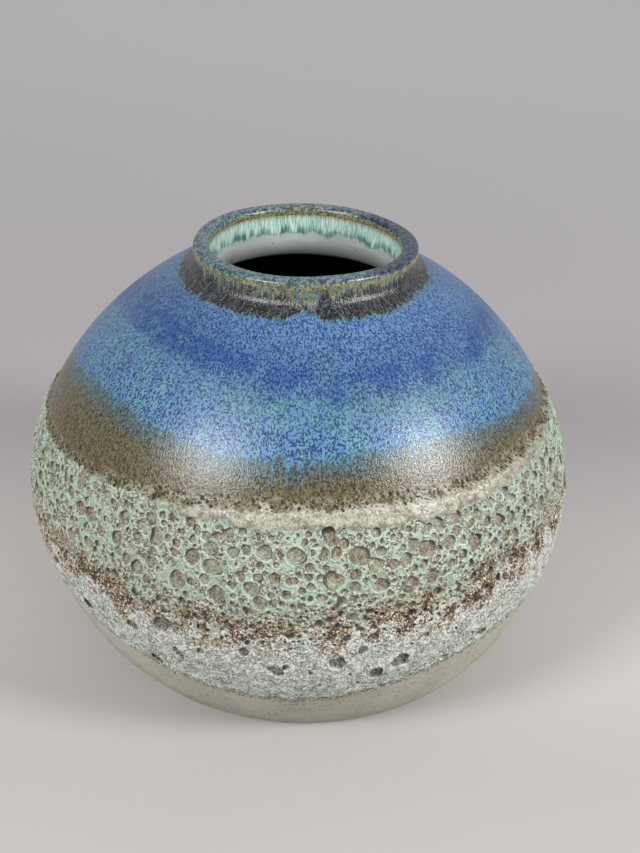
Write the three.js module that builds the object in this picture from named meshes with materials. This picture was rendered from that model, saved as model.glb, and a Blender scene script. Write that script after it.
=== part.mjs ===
// Squat, globular stoneware vase with a short collared neck: one turned clay body, and the
// separate coats of glaze that lie on it. Millimetres, +Z up, origin at the centre of the
// face that the foot rests on.
import * as THREE from 'three';

// Clay body: a superellipse of revolution above the equator and another below it
const HEIGHT = 172;
const EQUATOR_Z = 72;
const BELLY_RADIUS = 107.3;
const SHOULDER_RISE = 100.3;       // height above the equator where the upper curve would close
const SHOULDER_POWER = 1.85;
const BOWL_DROP = 102;             // depth below the equator where the lower curve would close
const BOWL_POWER = 2.1;
const WALL = 5.6;
const THROAT_THICKENING = 4.8;     // extra clay where the shoulder turns into the neck
const THICKENING_START_Z = 144;
const THICKENING_END_Z = 158;
const FLOOR_TOP_Z = 8;
const FLOOR_CORNER_RADIUS = 14;

// Foot ring turned from the same clay
const FOOT_BEVEL = 1.6;
const FOOT_INNER_RADIUS = 66;
const FOOT_RECESS = 3.4;

// Neck and lip, measured over the glaze
const LIP_OUTER_RADIUS = 43.8;
const LIP_INNER_RADIUS = 37.4;
const LIP_EDGE_RADIUS = 1.9;
const LIP_SKIRT = 3.4;             // how far the lip's own glaze turns down on both sides
const NECK_COVE_RADIUS = 6;        // hollow curve between the neck and the shoulder
const THROAT_RADIUS = 4;           // rounded edge between the mouth and the inside of the shoulder

// Coats of glaze
const GAP = 0.3;                   // clearance that keeps neighbouring solids apart
const THIN_COAT = 1.0;             // smooth glazes, outside and in
const CRATER_COAT = 2.4;           // foamed, cratered glazes
const CREAM_COAT = 2.0;            // thick rolled edge above the craters

// Heights where one glaze meets the next
const MOUTH_TO_LINER_Z = 160;
const NECK_TO_BLUE_Z = 159;
const BLUE_TO_BRONZE_Z = 122.5;
const BRONZE_TO_CREAM_Z = 111;
const CREAM_TO_TURQUOISE_Z = 103;
const TURQUOISE_TO_IRON_Z = 80;
const IRON_TO_WHITE_Z = 60;
const WHITE_TO_CLAY_Z = 33.5;

const SEGMENTS = 48;               // facets around the axis
const STEP_HEIGHT = 14;            // tallest step up the wall between two rings of vertices
const INSIDE_STEP_HEIGHT = 10;     // the same on the inside

// ---------------------------------------------------------------------------
// The curve of the clay wall

function wallCurve(z) {
  return z >= EQUATOR_Z
    ? { reach: SHOULDER_RISE, power: SHOULDER_POWER }
    : { reach: BOWL_DROP, power: BOWL_POWER };
}

function wallRadius(z) {
  const { reach, power } = wallCurve(z);
  const rise = Math.abs(z - EQUATOR_Z) / reach;
  return BELLY_RADIUS * Math.pow(1 - Math.pow(rise, power), 1 / power);
}

// Unit vector out of the wall, from the gradient of the superellipse.
function wallNormal(z) {
  const { reach, power } = wallCurve(z);
  const outward = Math.pow(wallRadius(z), power - 1) / Math.pow(BELLY_RADIUS, power);
  const upward = Math.pow(Math.abs(z - EQUATOR_Z), power - 1) / Math.pow(reach, power);
  return new THREE.Vector2(outward, Math.sign(z - EQUATOR_Z) * upward).normalize();
}

function wallPoint(z, offset = 0) {
  return new THREE.Vector2(wallRadius(z), z).addScaledVector(wallNormal(z), offset);
}

// How far the inside of the clay lies from its outside.
function wallThickness(z) {
  return WALL + THROAT_THICKENING * THREE.MathUtils.smoothstep(z, THICKENING_START_Z, THICKENING_END_Z);
}

// Inside of the wall from the throat down to the floor, `depth` behind the clay's inner face.
function insideLine(depth) {
  const steps = Math.ceil((throatEndZ - floorEndZ) / INSIDE_STEP_HEIGHT);
  return Array.from({ length: steps + 1 }, (_, i) => {
    const z = THREE.MathUtils.lerp(throatEndZ, floorEndZ, i / steps);
    return wallPoint(z, depth - wallThickness(z));
  });
}

// The wall's curve between two heights, standing off from the clay by an amount that
// may change evenly from one end to the other.
function wallLine(fromZ, toZ, fromOffset = 0, toOffset = fromOffset) {
  const steps = Math.max(1, Math.ceil(Math.abs(toZ - fromZ) / STEP_HEIGHT));
  return Array.from({ length: steps + 1 }, (_, i) => wallPoint(
    THREE.MathUtils.lerp(fromZ, toZ, i / steps),
    THREE.MathUtils.lerp(fromOffset, toOffset, i / steps),
  ));
}

function at(radius, z) {
  return new THREE.Vector2(radius, z);
}

// An arc in the half-plane of the profile, with 0 degrees pointing away from the axis.
function arc(centre, radius, fromDegrees, toDegrees, steps = 3) {
  return Array.from({ length: steps + 1 }, (_, i) => {
    const angle = THREE.MathUtils.degToRad(THREE.MathUtils.lerp(fromDegrees, toDegrees, i / steps));
    return at(centre.x + radius * Math.cos(angle), centre.y + radius * Math.sin(angle));
  });
}

// Height between two limits where a steadily rising or falling function crosses zero.
function crossing(value, lowZ, highZ) {
  const startSign = Math.sign(value(lowZ));
  let [low, high] = [lowZ, highZ];
  for (let i = 0; i < 50; i += 1) {
    const middle = (low + high) / 2;
    if (Math.sign(value(middle)) === startSign) low = middle;
    else high = middle;
  }
  return (low + high) / 2;
}

function slopeDegrees(z) {
  return THREE.MathUtils.radToDeg(wallNormal(z).angle());
}

// ---------------------------------------------------------------------------
// Where the neck, the throat and the floor blend into the wall

const TOP_Z = EQUATOR_Z + SHOULDER_RISE - 1;
const OUTER_GLAZE = GAP + THIN_COAT;                    // outer face of a thin glaze, off the clay
const INNER_GLAZE = GAP + THIN_COAT;                    // inner face of the liner, off the clay

const coveEndZ = crossing(
  (z) => wallPoint(z, OUTER_GLAZE + NECK_COVE_RADIUS).x - (LIP_OUTER_RADIUS + NECK_COVE_RADIUS),
  EQUATOR_Z, TOP_Z,
);
const coveCentre = wallPoint(coveEndZ, OUTER_GLAZE + NECK_COVE_RADIUS);

function throatPoint(z) {
  return wallPoint(z, THROAT_RADIUS - wallThickness(z) - INNER_GLAZE);
}

const throatEndZ = crossing(
  (z) => throatPoint(z).x - (LIP_INNER_RADIUS + THROAT_RADIUS),
  EQUATOR_Z, TOP_Z,
);
const throatCentre = throatPoint(throatEndZ);

const floorCentreZ = FLOOR_TOP_Z + FLOOR_CORNER_RADIUS;
const floorEndZ = crossing(
  (z) => wallPoint(z, -WALL - FLOOR_CORNER_RADIUS).y - floorCentreZ,
  1, EQUATOR_Z - 1,
);
const floorCentre = wallPoint(floorEndZ, -WALL - FLOOR_CORNER_RADIUS);

// Outside of the neck from the lip down to the shoulder, `depth` below the glaze surface.
function neckOutside(topZ, depth) {
  return [
    at(LIP_OUTER_RADIUS - depth, topZ),
    ...arc(coveCentre, NECK_COVE_RADIUS + depth, 180, 180 + slopeDegrees(coveEndZ)),
  ];
}

// Inside of the mouth from the lip down and out under the shoulder, `depth` behind the glaze.
function throatInside(topZ, depth) {
  return [
    at(LIP_INNER_RADIUS + depth, topZ),
    ...arc(throatCentre, THROAT_RADIUS - depth, 180, 180 + slopeDegrees(throatEndZ), 2),
  ];
}

// Over the top of the lip from the outside to the inside, `depth` below the glaze surface.
function lipTop(depth) {
  const edgeZ = HEIGHT - LIP_EDGE_RADIUS;
  const edge = LIP_EDGE_RADIUS - depth;
  return [
    ...arc(at(LIP_OUTER_RADIUS - LIP_EDGE_RADIUS, edgeZ), edge, 0, 90, 2),
    ...arc(at(LIP_INNER_RADIUS + LIP_EDGE_RADIUS, edgeZ), edge, 90, 180, 2),
  ];
}

// Inside of the bowl: the rounded corner and the flat floor out to the axis.
function floorInside(depth) {
  const wallAngle = slopeDegrees(floorEndZ) - 360;
  return [
    ...arc(floorCentre, FLOOR_CORNER_RADIUS + depth, wallAngle, -90, 4),
    at(0, floorCentreZ - FLOOR_CORNER_RADIUS - depth),
  ];
}

// ---------------------------------------------------------------------------
// Solids of revolution

// Turns a profile about Z. It starts and ends on the axis, or else is closed on itself.
function turned(profile) {
  const outline = THREE.ShapeUtils.isClockWise(profile) ? profile.slice().reverse() : profile.slice();
  if (profile[0].x > 0) outline.push(outline[0].clone());
  return new THREE.LatheGeometry(outline, SEGMENTS).rotateX(Math.PI / 2);
}

// A band of glaze round the outside of the wall, between two heights.
function glazeBand(lowZ, highZ, lowCoat, highCoat = lowCoat) {
  const [fromZ, toZ] = [lowZ + GAP / 2, highZ - GAP / 2];
  return turned([
    ...wallLine(fromZ, toZ, GAP),
    ...wallLine(toZ, fromZ, GAP + highCoat, GAP + lowCoat),
  ]);
}

function clayBody() {
  const clayDepth = THIN_COAT + GAP;
  const footRadius = wallRadius(FOOT_BEVEL);
  const lipSideZ = HEIGHT - LIP_EDGE_RADIUS;
  return turned([
    at(0, FOOT_RECESS),
    at(FOOT_INNER_RADIUS - FOOT_RECESS, FOOT_RECESS),
    at(FOOT_INNER_RADIUS, 0),
    at(footRadius - FOOT_BEVEL, 0),
    ...wallLine(FOOT_BEVEL, coveEndZ),
    ...neckOutside(lipSideZ, clayDepth).reverse().slice(1, -1),
    ...lipTop(clayDepth),
    ...throatInside(lipSideZ, clayDepth).slice(1),
    ...insideLine(0).slice(1),
    ...floorInside(0).slice(1),
  ]);
}

// White glaze over the whole inside, from below the drips in the mouth to the floor.
function linerGlaze() {
  const topZ = MOUTH_TO_LINER_Z - GAP;
  const skin = (depth) => [
    ...throatInside(topZ, depth),
    ...insideLine(depth - INNER_GLAZE).slice(1),
    ...floorInside(depth - INNER_GLAZE).slice(1),
  ];
  return turned([...skin(0).reverse(), ...skin(THIN_COAT)]);
}

// Green drips inside the mouth.
function mouthGlaze() {
  const topZ = HEIGHT - LIP_SKIRT - GAP;
  return turned([
    at(LIP_INNER_RADIUS, MOUTH_TO_LINER_Z),
    at(LIP_INNER_RADIUS + THIN_COAT, MOUTH_TO_LINER_Z),
    at(LIP_INNER_RADIUS + THIN_COAT, topZ),
    at(LIP_INNER_RADIUS, topZ),
  ]);
}

// Blue glaze over the lip, turned down a little on both sides.
function rimGlaze() {
  const skirtZ = HEIGHT - LIP_SKIRT;
  return turned([
    at(LIP_OUTER_RADIUS, skirtZ),
    ...lipTop(0),
    at(LIP_INNER_RADIUS, skirtZ),
    at(LIP_INNER_RADIUS + THIN_COAT, skirtZ),
    ...lipTop(THIN_COAT).reverse(),
    at(LIP_OUTER_RADIUS - THIN_COAT, skirtZ),
  ]);
}

// Dark glaze down the outside of the neck and a little way onto the shoulder.
function neckGlaze() {
  const topZ = HEIGHT - LIP_SKIRT - GAP;
  const endZ = NECK_TO_BLUE_Z + GAP / 2;
  return turned([
    ...neckOutside(topZ, 0),
    wallPoint(endZ, OUTER_GLAZE),
    wallPoint(endZ, GAP),
    ...neckOutside(topZ, THIN_COAT).reverse(),
  ]);
}

// ---------------------------------------------------------------------------
// Assembly

const pot = new THREE.Group();

function addPiece(name, geometry, color, roughness, metalness = 0) {
  const piece = new THREE.Mesh(geometry, new THREE.MeshStandardMaterial({ color, roughness, metalness }));
  piece.name = name;
  pot.add(piece);
}

addPiece('clay_body', clayBody(), '#a39d8d', 0.8);
addPiece('liner_glaze', linerGlaze(), '#cfd1cd', 0.25);
addPiece('mouth_drip_glaze', mouthGlaze(), '#8fc4b1', 0.2);
addPiece('rim_glaze', rimGlaze(), '#5c8aa8', 0.3);
addPiece('neck_glaze', neckGlaze(), '#4d4c46', 0.3, 0.3);
addPiece('blue_crystal_glaze', glazeBand(BLUE_TO_BRONZE_Z, NECK_TO_BLUE_Z, THIN_COAT), '#4a78bd', 0.4);
addPiece('bronze_glaze', glazeBand(BRONZE_TO_CREAM_Z, BLUE_TO_BRONZE_Z, THIN_COAT), '#7b6b52', 0.35, 0.4);
addPiece(
  'cream_edge_glaze',
  glazeBand(CREAM_TO_TURQUOISE_Z, BRONZE_TO_CREAM_Z, CREAM_COAT, THIN_COAT),
  '#c9c8b0', 0.5,
);
addPiece(
  'turquoise_crater_glaze',
  glazeBand(TURQUOISE_TO_IRON_Z, CREAM_TO_TURQUOISE_Z, CRATER_COAT, CREAM_COAT),
  '#8fb3a0', 0.6,
);
addPiece(
  'iron_crater_glaze',
  glazeBand(IRON_TO_WHITE_Z, TURQUOISE_TO_IRON_Z, CRATER_COAT),
  '#7c675a', 0.65,
);
addPiece(
  'white_crater_glaze',
  glazeBand(WHITE_TO_CLAY_Z, IRON_TO_WHITE_Z, THIN_COAT, CRATER_COAT),
  '#c2c8c2', 0.65,
);

export default pot;
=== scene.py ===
import itertools
import math

import bpy
import numpy as np
from mathutils import Matrix, Vector


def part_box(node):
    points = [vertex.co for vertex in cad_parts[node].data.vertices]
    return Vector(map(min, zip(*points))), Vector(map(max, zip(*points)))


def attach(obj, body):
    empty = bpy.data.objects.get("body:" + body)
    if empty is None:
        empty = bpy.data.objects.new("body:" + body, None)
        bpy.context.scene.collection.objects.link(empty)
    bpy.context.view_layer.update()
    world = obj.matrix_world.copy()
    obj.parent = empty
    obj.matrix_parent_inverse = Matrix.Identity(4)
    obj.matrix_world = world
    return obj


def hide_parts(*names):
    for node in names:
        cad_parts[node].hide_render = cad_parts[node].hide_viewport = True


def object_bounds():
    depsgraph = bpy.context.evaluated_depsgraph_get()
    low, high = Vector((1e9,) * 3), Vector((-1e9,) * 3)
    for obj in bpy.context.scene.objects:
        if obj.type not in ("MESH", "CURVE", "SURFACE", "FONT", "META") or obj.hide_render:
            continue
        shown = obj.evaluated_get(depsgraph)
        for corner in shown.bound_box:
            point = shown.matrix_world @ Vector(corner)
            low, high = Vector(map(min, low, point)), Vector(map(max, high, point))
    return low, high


# A round stoneware vase whose layered glazes run from a smooth blue shoulder, over a satin
# bronze band, to a foamed and cratered crust, with bare clay at the foot.
# Lengths here are millimetres and turn into metres when a mesh is made.

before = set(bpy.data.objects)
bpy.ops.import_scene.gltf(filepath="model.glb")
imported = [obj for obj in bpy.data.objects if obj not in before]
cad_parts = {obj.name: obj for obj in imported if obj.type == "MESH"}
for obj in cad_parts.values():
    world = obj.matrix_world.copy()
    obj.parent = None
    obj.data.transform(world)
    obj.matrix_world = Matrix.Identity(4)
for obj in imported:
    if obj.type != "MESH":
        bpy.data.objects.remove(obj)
cad_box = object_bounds()

MM = 0.001
SEED = 20


def low_z(node):
    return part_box(node)[0].z / MM


def high_z(node):
    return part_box(node)[1].z / MM


# Sizes of the vase

HEIGHT = cad_box[1].z / MM
BELLY_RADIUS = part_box("clay_body")[1].x / MM
EQUATOR_Z = 72.0
SHOULDER_RISE = 100.3
SHOULDER_POWER = 1.85
BOWL_DROP = 102.0
BOWL_POWER = 2.1
WALL = 5.6
THROAT_THICKENING = 4.8
THICKENING_Z = (144.0, 158.0)

LIP_OUTER_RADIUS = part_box("rim_glaze")[1].x / MM
LIP_INNER_RADIUS = LIP_OUTER_RADIUS - 6.4
LIP_EDGE_RADIUS = 1.9
NECK_COVE_RADIUS = 6.0
THROAT_RADIUS = 4.0
BARE_CLAY_TOP = 44.0     # the coats cover the clay from below this height up
COVERED_CLAY_TOP = 156.0
FOOT_BEVEL = 1.6
FOOT_INNER_RADIUS = 66.0
FOOT_RECESS = 3.4
FLOOR_TOP_Z = 8.0
FLOOR_CORNER_RADIUS = 14.0
LEAN = (1.3, -0.0495, 0.000244)   # to the right, by powers of the height
PAST_LIP = 4.0           # distances along a profile from the middle of the lip
ON_SHOULDER = 12.0

SKIN = 1.3               # outer face of the smooth glazes, off the clay
CRUST = 1.4              # how much further out the foamed glazes stand
CLEARANCE = 0.05         # between a glaze's hidden face and the clay
FLOW_RADIUS = 100.0      # radius at which the flow coordinate is true to size

FINE_COLUMNS = 1680      # round the cratered bands
COLUMNS = 840            # round the smooth ones
CLAY_COLUMNS = 420       # round the clay and the liner
HIDDEN_ROWS = 4          # on the hidden face of a coat
LIP_ROWS = 14            # over each half of the lip
LINER_ROWS = 130
BARE_CLAY_ROWS = 70
COVERED_CLAY_ROWS = 40
INNER_HIDE = CLEARANCE - 1.0   # from the seen face of the inside and the lip to their hidden one


def smooth(low, high, value):
    share = np.clip((value - low) / (high - low), 0, 1)
    return share * share * (3 - 2 * share)


def ridge(value, centre, width):
    """A bump of height 1 at the centre, about `width` to either side."""
    return np.exp(-(((value - centre) / width) ** 2))


def wrapped(azimuth):
    """The same angle between minus and plus half a turn."""
    return np.mod(azimuth + math.pi, 2 * math.pi) - math.pi


def turns(columns):
    return np.arange(columns) * 2 * math.pi / columns


def around(azimuth, radius, height):
    """Points in space. An azimuth is 0 at the front and grows to the right."""
    x, y = radius * np.sin(azimuth), -radius * np.cos(azimuth)
    return np.stack(np.broadcast_arrays(x, y, height), -1)


# Noise in three dimensions, so that nothing shows a seam

GRADIENTS = np.random.default_rng(SEED).normal(size=(256, 3))
GRADIENTS /= np.linalg.norm(GRADIENTS, axis=1)[:, None]


def noise(points, size, seed=0, octaves=1):
    """Gradient noise between about -1 and 1 with features of that size, or a size per axis."""
    total = np.zeros(points.shape[:-1])
    weight = 1.0
    scaled = points / np.asarray(size, float)
    with np.errstate(over="ignore"):     # the hash of a cell may wrap round
        for octave in range(octaves):
            total += weight * lattice_noise(scaled * 2**octave, seed + 17 * octave)
            weight *= 0.5
    return total


def lattice_noise(points, seed):
    cell = np.floor(points).astype(np.int64)
    part = points - cell
    fade = part**3 * (part * (part * 6 - 15) + 10)
    total = np.zeros(points.shape[:-1])
    for corner in itertools.product((0, 1), repeat=3):
        x, y, z = np.moveaxis(cell + corner, -1, 0)
        mixed = (x * 73856093) ^ (y * 19349663) ^ (z * 83492791) ^ (seed * 2654435761)
        mixed = ((mixed ^ (mixed >> 13)) * 1274126177) & 0x7FFFFFFF
        gradient = GRADIENTS[(mixed >> 8) & 255]
        weight = np.prod(np.where(corner, fade, 1 - fade), axis=-1)
        total += weight * np.einsum("...i,...i", gradient, part - corner)
    return total * 1.7


# The vase's profile


def wall(z, offset=0.0):
    """Radius and height of points on the clay wall, or standing off it by `offset`."""
    z = np.asarray(z, float)
    rise = z - EQUATOR_Z
    reach = np.where(rise >= 0, SHOULDER_RISE, BOWL_DROP)
    power = np.where(rise >= 0, SHOULDER_POWER, BOWL_POWER)
    radius = BELLY_RADIUS * (1 - (np.abs(rise) / reach) ** power) ** (1 / power)
    outward = radius ** (power - 1) / BELLY_RADIUS**power
    upward = np.sign(rise) * np.abs(rise) ** (power - 1) / reach**power
    stand_off = offset / np.hypot(outward, upward)
    return np.stack([radius + stand_off * outward, z + stand_off * upward], -1)


def arc(centre, radius, start, end, steps=12):
    angle = np.radians(np.linspace(start, end, steps + 1))
    return np.stack([centre[0] + radius * np.cos(angle), centre[1] + radius * np.sin(angle)], -1)


def wall_height_where(axis, value, offset):
    """Height on the wall where the offset point has that radius (axis 0) or height (axis 1)."""
    z = np.linspace(EQUATOR_Z, EQUATOR_Z + SHOULDER_RISE - 1, 4000)
    if axis == 1:
        z = np.linspace(EQUATOR_Z, 1, 4000)
    return float(np.interp(-value, -wall(z, offset)[:, axis], z))


def throat_height():
    """Height on the wall from which the throat's rounded edge meets the mouth's inside."""
    z = np.linspace(EQUATOR_Z, EQUATOR_Z + SHOULDER_RISE - 1, 4000)
    radius = wall(z, THROAT_RADIUS - liner_depth(z))[:, 0]
    return float(np.interp(-(LIP_INNER_RADIUS + THROAT_RADIUS), -radius, z))


def steepness(z):
    """Angle of the wall's normal above the horizontal, in degrees."""
    step = wall(z, 1.0) - wall(z)
    return math.degrees(math.atan2(step[1], step[0]))


class Profile:
    """A line in the half-plane of the axis, addressed by the distance along it.

    side is 1 where the seen surface lies to the left of the line's direction, or else -1.
    """

    def __init__(self, parts, side=1):
        points = np.concatenate([np.atleast_2d(part) for part in parts])
        step = np.linalg.norm(np.diff(points, axis=0), axis=1)
        keep = np.concatenate([[True], step > 1e-6])
        self.points = points[keep]
        step = np.linalg.norm(np.diff(self.points, axis=0), axis=1)
        self.along = np.concatenate([[0.0], np.cumsum(step)])
        tangent = np.gradient(self.points, self.along, axis=0)
        tangent /= np.linalg.norm(tangent, axis=1)[:, None]
        self.normals = side * np.stack([-tangent[:, 1], tangent[:, 0]], -1)
        self.length = self.along[-1]

    def at(self, along, offset=0.0):
        """Radius and height at a distance along the line."""
        radius, height = (np.interp(along, self.along, axis) for axis in self.points.T)
        out, up = (np.interp(along, self.along, axis) for axis in self.normals.T)
        return radius + offset * out, height + offset * up

    def distance(self, height, start=0.0):
        """Distance along a line that only falls from `start` on, at which it has that height."""
        falling = self.along >= start
        heights, along = self.points[falling, 1], self.along[falling]
        return np.interp(-np.asarray(height, float), -heights, along)


def outside_profile():
    edge_z = HEIGHT - LIP_EDGE_RADIUS
    centre_radius = LIP_OUTER_RADIUS + NECK_COVE_RADIUS
    cove_z = wall_height_where(0, centre_radius, SKIN + NECK_COVE_RADIUS)
    cove = wall(cove_z, SKIN + NECK_COVE_RADIUS)
    return Profile([
        [(LIP_OUTER_RADIUS + LIP_INNER_RADIUS) / 2, HEIGHT],
        arc((LIP_OUTER_RADIUS - LIP_EDGE_RADIUS, edge_z), LIP_EDGE_RADIUS, 90, 0),
        arc(cove, NECK_COVE_RADIUS, 180, 180 + steepness(cove_z)),
        wall(np.linspace(cove_z, 4, 400)[1:], SKIN),
    ])


def liner_depth(z):
    """How far the liner's seen face lies behind the clay's outside."""
    return WALL + SKIN + THROAT_THICKENING * smooth(*THICKENING_Z, z)


def inside_profile():
    """The glazed inside from the lip to the centre of the floor."""
    edge_z = HEIGHT - LIP_EDGE_RADIUS
    throat_z = throat_height()
    throat = wall(throat_z, THROAT_RADIUS - liner_depth(throat_z))
    floor_centre_z = FLOOR_TOP_Z + FLOOR_CORNER_RADIUS
    corner_z = wall_height_where(1, floor_centre_z, -WALL - FLOOR_CORNER_RADIUS)
    corner = wall(corner_z, -WALL - FLOOR_CORNER_RADIUS)
    corner_radius = FLOOR_CORNER_RADIUS - SKIN
    wall_z = np.linspace(throat_z, corner_z, 300)[1:]
    return Profile([
        [(LIP_OUTER_RADIUS + LIP_INNER_RADIUS) / 2, HEIGHT],
        arc((LIP_INNER_RADIUS + LIP_EDGE_RADIUS, edge_z), LIP_EDGE_RADIUS, 90, 180),
        arc(throat, THROAT_RADIUS, 180, 180 + steepness(throat_z)),
        wall(wall_z, -liner_depth(wall_z)),
        arc(corner, corner_radius, steepness(corner_z), -90),
        [0.4, floor_centre_z - corner_radius],
    ], side=-1)


OUTSIDE = outside_profile()
INSIDE = inside_profile()
NECK_FOOT = OUTSIDE.distance(HEIGHT - 12.5, PAST_LIP)
THROAT_END = INSIDE.distance(HEIGHT - 18.5, PAST_LIP)


def settled(azimuth, radius, height):
    """Points in space, with the slight lean and the uneven lip of a pot thrown by hand."""
    lean = LEAN[0] + LEAN[1] * height + LEAN[2] * height**2
    lip = 0.35 * np.sin(2 * azimuth + 0.6) + 0.15 * np.sin(5 * azimuth)
    points = around(azimuth, radius, height + lip * smooth(HEIGHT - 25, HEIGHT - 4, height))
    points[..., 0] += lean
    return points


# Wavy lines where one glaze meets the next. A wave is its height, the number of waves round
# the pot and the azimuth of a crest in degrees.


def wavy(height, *waves):
    def line(azimuth):
        return height + sum(
            size * np.cos(count * (azimuth - math.radians(crest))) for size, count, crest in waves
        )
    return line


def ragged(line, size, length, seed):
    """The same line, frayed."""
    def frayed(azimuth):
        ring = around(azimuth, FLOW_RADIUS, 0.0)
        return line(azimuth) + size * noise(ring, length, seed, octaves=3)
    return frayed


cobalt_z = wavy(143.3, (2.6, 1, -61), (1.5, 2, -38), (2.4, 3, 60))
blue_end_z = wavy(
    low_z("blue_crystal_glaze") - 3.4, (3.3, 1, -13), (1.9, 2, -30), (2.6, 3, 54), (1.2, 4, 25),
)
bronze_end_z = wavy(low_z("bronze_glaze") - 2.0, (1.8, 1, 82), (1.8, 2, 40), (1.8, 3, -15))


def swell(azimuth, rise, fall):
    """A share that rises and falls again round the pot, between the given azimuths in degrees."""
    degrees = np.degrees(wrapped(azimuth))
    return smooth(*rise, degrees) * (1 - smooth(*fall, degrees))


def cream_end_z(azimuth):
    """The cream edge is thickest at the front and thins to a line at the back."""
    return bronze_end_z(azimuth) - 1.2 - 7.0 * swell(azimuth, (-60, 0), (20, 110))


rust_z = wavy(72.6, (3.0, 1, 133), (3.5, 2, 72), (1.6, 3, -48))
coat_end_z = wavy(
    low_z("white_crater_glaze") + 6.7, (2.1, 1, 177), (6.7, 2, 89), (3.0, 3, 59), (1.3, 4, 35),
)

bronze_edge_z = ragged(bronze_end_z, 0.8, 9.0, 3)
cream_edge_z = ragged(cream_end_z, 1.9, 7.0, 4)
coat_edge_z = ragged(coat_end_z, 1.5, 12.0, 5)


def along_outside(line):
    """The same line as distances along the outside."""
    return lambda azimuth: OUTSIDE.distance(line(azimuth), ON_SHOULDER)


def constant(value):
    return lambda azimuth: value + 0 * azimuth


# Craters: bubbles that burst at the surface of the glaze

NAMED_CRATERS = (
    # azimuth in degrees, height, diameter: the biggest on the side towards the viewer
    (8, 49.5, 6.4), (21, 46.5, 7.2), (13, 55.5, 4.0), (15, 61, 3.6), (16, 42, 6.4),
    (-4, 45.5, 5.6), (-10, 54, 4.2), (-27, 58.5, 7.6), (-34, 53, 5.4), (-24, 47.5, 4.8),
    (-39, 50, 3.2), (38, 44, 3.4), (26, 57, 2.8),
    (-20, 90, 6.2), (-16, 87.5, 7.0), (0, 94, 7.0), (-6, 95, 5.8), (-12, 94, 4.4),
    (-32, 91, 4.8), (-28, 93.5, 6.0), (12, 93.5, 7.6), (7, 85.5, 7.4), (31, 92, 5.6),
    (37, 89, 7.0), (44, 93, 5.6), (22, 80.5, 7.0), (-36, 96, 5.4),
)
NAMED_DEPTH = 0.24       # of a named crater, as a share of its diameter
MAX_DEPTH = 1.7
LOBES = 5                # waves in the outline of a crater
CLEAR = 1.5              # distance from a crater beyond which the glaze doesn't feel it


class Craters:
    """Bubbles placed on the outside one after another, each clear of those before it."""

    def __init__(self):
        self.random = np.random.default_rng(SEED + 1)
        self.azimuth, self.along, self.radius, self.depth = [], [], [], []
        self.outline, self.shade_turn = [], []

    def add(self, azimuth, z, diameter, depth, stretch=None):
        self.azimuth.append(azimuth)
        self.along.append(float(OUTSIDE.distance(z, ON_SHOULDER)))
        self.radius.append(diameter / 2)
        self.depth.append(min(depth, MAX_DEPTH))
        sizes = self.random.normal(0, 0.11, LOBES) / np.arange(1, LOBES + 1)
        phases = self.random.uniform(0, 2 * math.pi, LOBES)
        if stretch is not None:
            sizes[0], phases[0] = stretch, 0
        self.outline.append((sizes, phases))
        # Turn of the side of this crater's wall that is painted in shade.
        self.shade_turn.append(self.random.normal(0, 0.9))

    def free(self, azimuth, z, diameter, spacing):
        along = OUTSIDE.distance(z, ON_SHOULDER)
        ring_radius, _ = OUTSIDE.at(along)
        across = wrapped(np.array(self.azimuth) - azimuth) * ring_radius
        down = np.array(self.along) - along
        room = (np.array(self.radius) + diameter / 2) * spacing
        return not np.any(np.hypot(across, down) < room)

    def scatter(self, number, smallest, largest, depth_share, band, spacing=1.02, stretch=None):
        low, high = band
        for _ in range(number * 4):
            azimuth = self.random.uniform(-math.pi, math.pi)
            z = self.random.uniform(low(azimuth), high(azimuth))
            diameter = smallest + (largest - smallest) * self.random.random() ** 1.5
            if number and self.free(azimuth, z, diameter, spacing):
                depth = diameter * depth_share * self.random.uniform(0.8, 1.15)
                self.add(azimuth, z, diameter, depth, stretch)
                number -= 1

    def press(self, azimuth, along):
        """Depth of the holes, the distance outwards from the nearest hole's edge, and a share
        that grows from -1 to 1 towards the side of that hole's wall which is painted in shade."""
        hole, over = np.zeros((2, *along.shape))
        beyond = np.full(along.shape, CLEAR)
        for place, turn, radius, depth, outline, shade_turn in zip(
            self.along, self.azimuth, self.radius, self.depth, self.outline, self.shade_turn,
        ):
            reach = 1.4 * radius + CLEAR
            ring_radius, _ = OUTSIDE.at(place)
            across = wrapped(azimuth - turn) * ring_radius
            near = np.flatnonzero(np.abs(across) < reach)
            rows = np.flatnonzero(np.abs(along[:, near[0]] - place) < reach + 1)
            if not len(rows):
                continue
            patch = np.ix_(rows, near)
            x, y = across[near], along[patch] - place
            angle = np.arctan2(y, x)
            waves = enumerate(zip(*outline), start=2)
            edge = 1 + sum(size * np.cos(k * angle + phase) for k, (size, phase) in waves)
            outwards = np.hypot(x, y) - radius * edge
            bowl = depth * (1 - smooth(-0.65, 0.0, outwards))
            bowl = bowl * (1 - 0.12 * np.exp(np.minimum(outwards, 0)))
            hole[patch] = np.maximum(hole[patch], bowl)
            # The share grows towards the side of the wall that is painted in shade.
            lean = np.cos(angle + math.pi / 2 - shade_turn)
            over[patch] = np.where(outwards < beyond[patch], lean, over[patch])
            beyond[patch] = np.minimum(beyond[patch], outwards)
        return hole, beyond, over


def between(low_line, low, high_line, high):
    """A band round the vase. Each edge lies some millimetres above a wavy line."""
    return lambda a: low_line(a) + low, lambda a: high_line(a) + high


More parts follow.
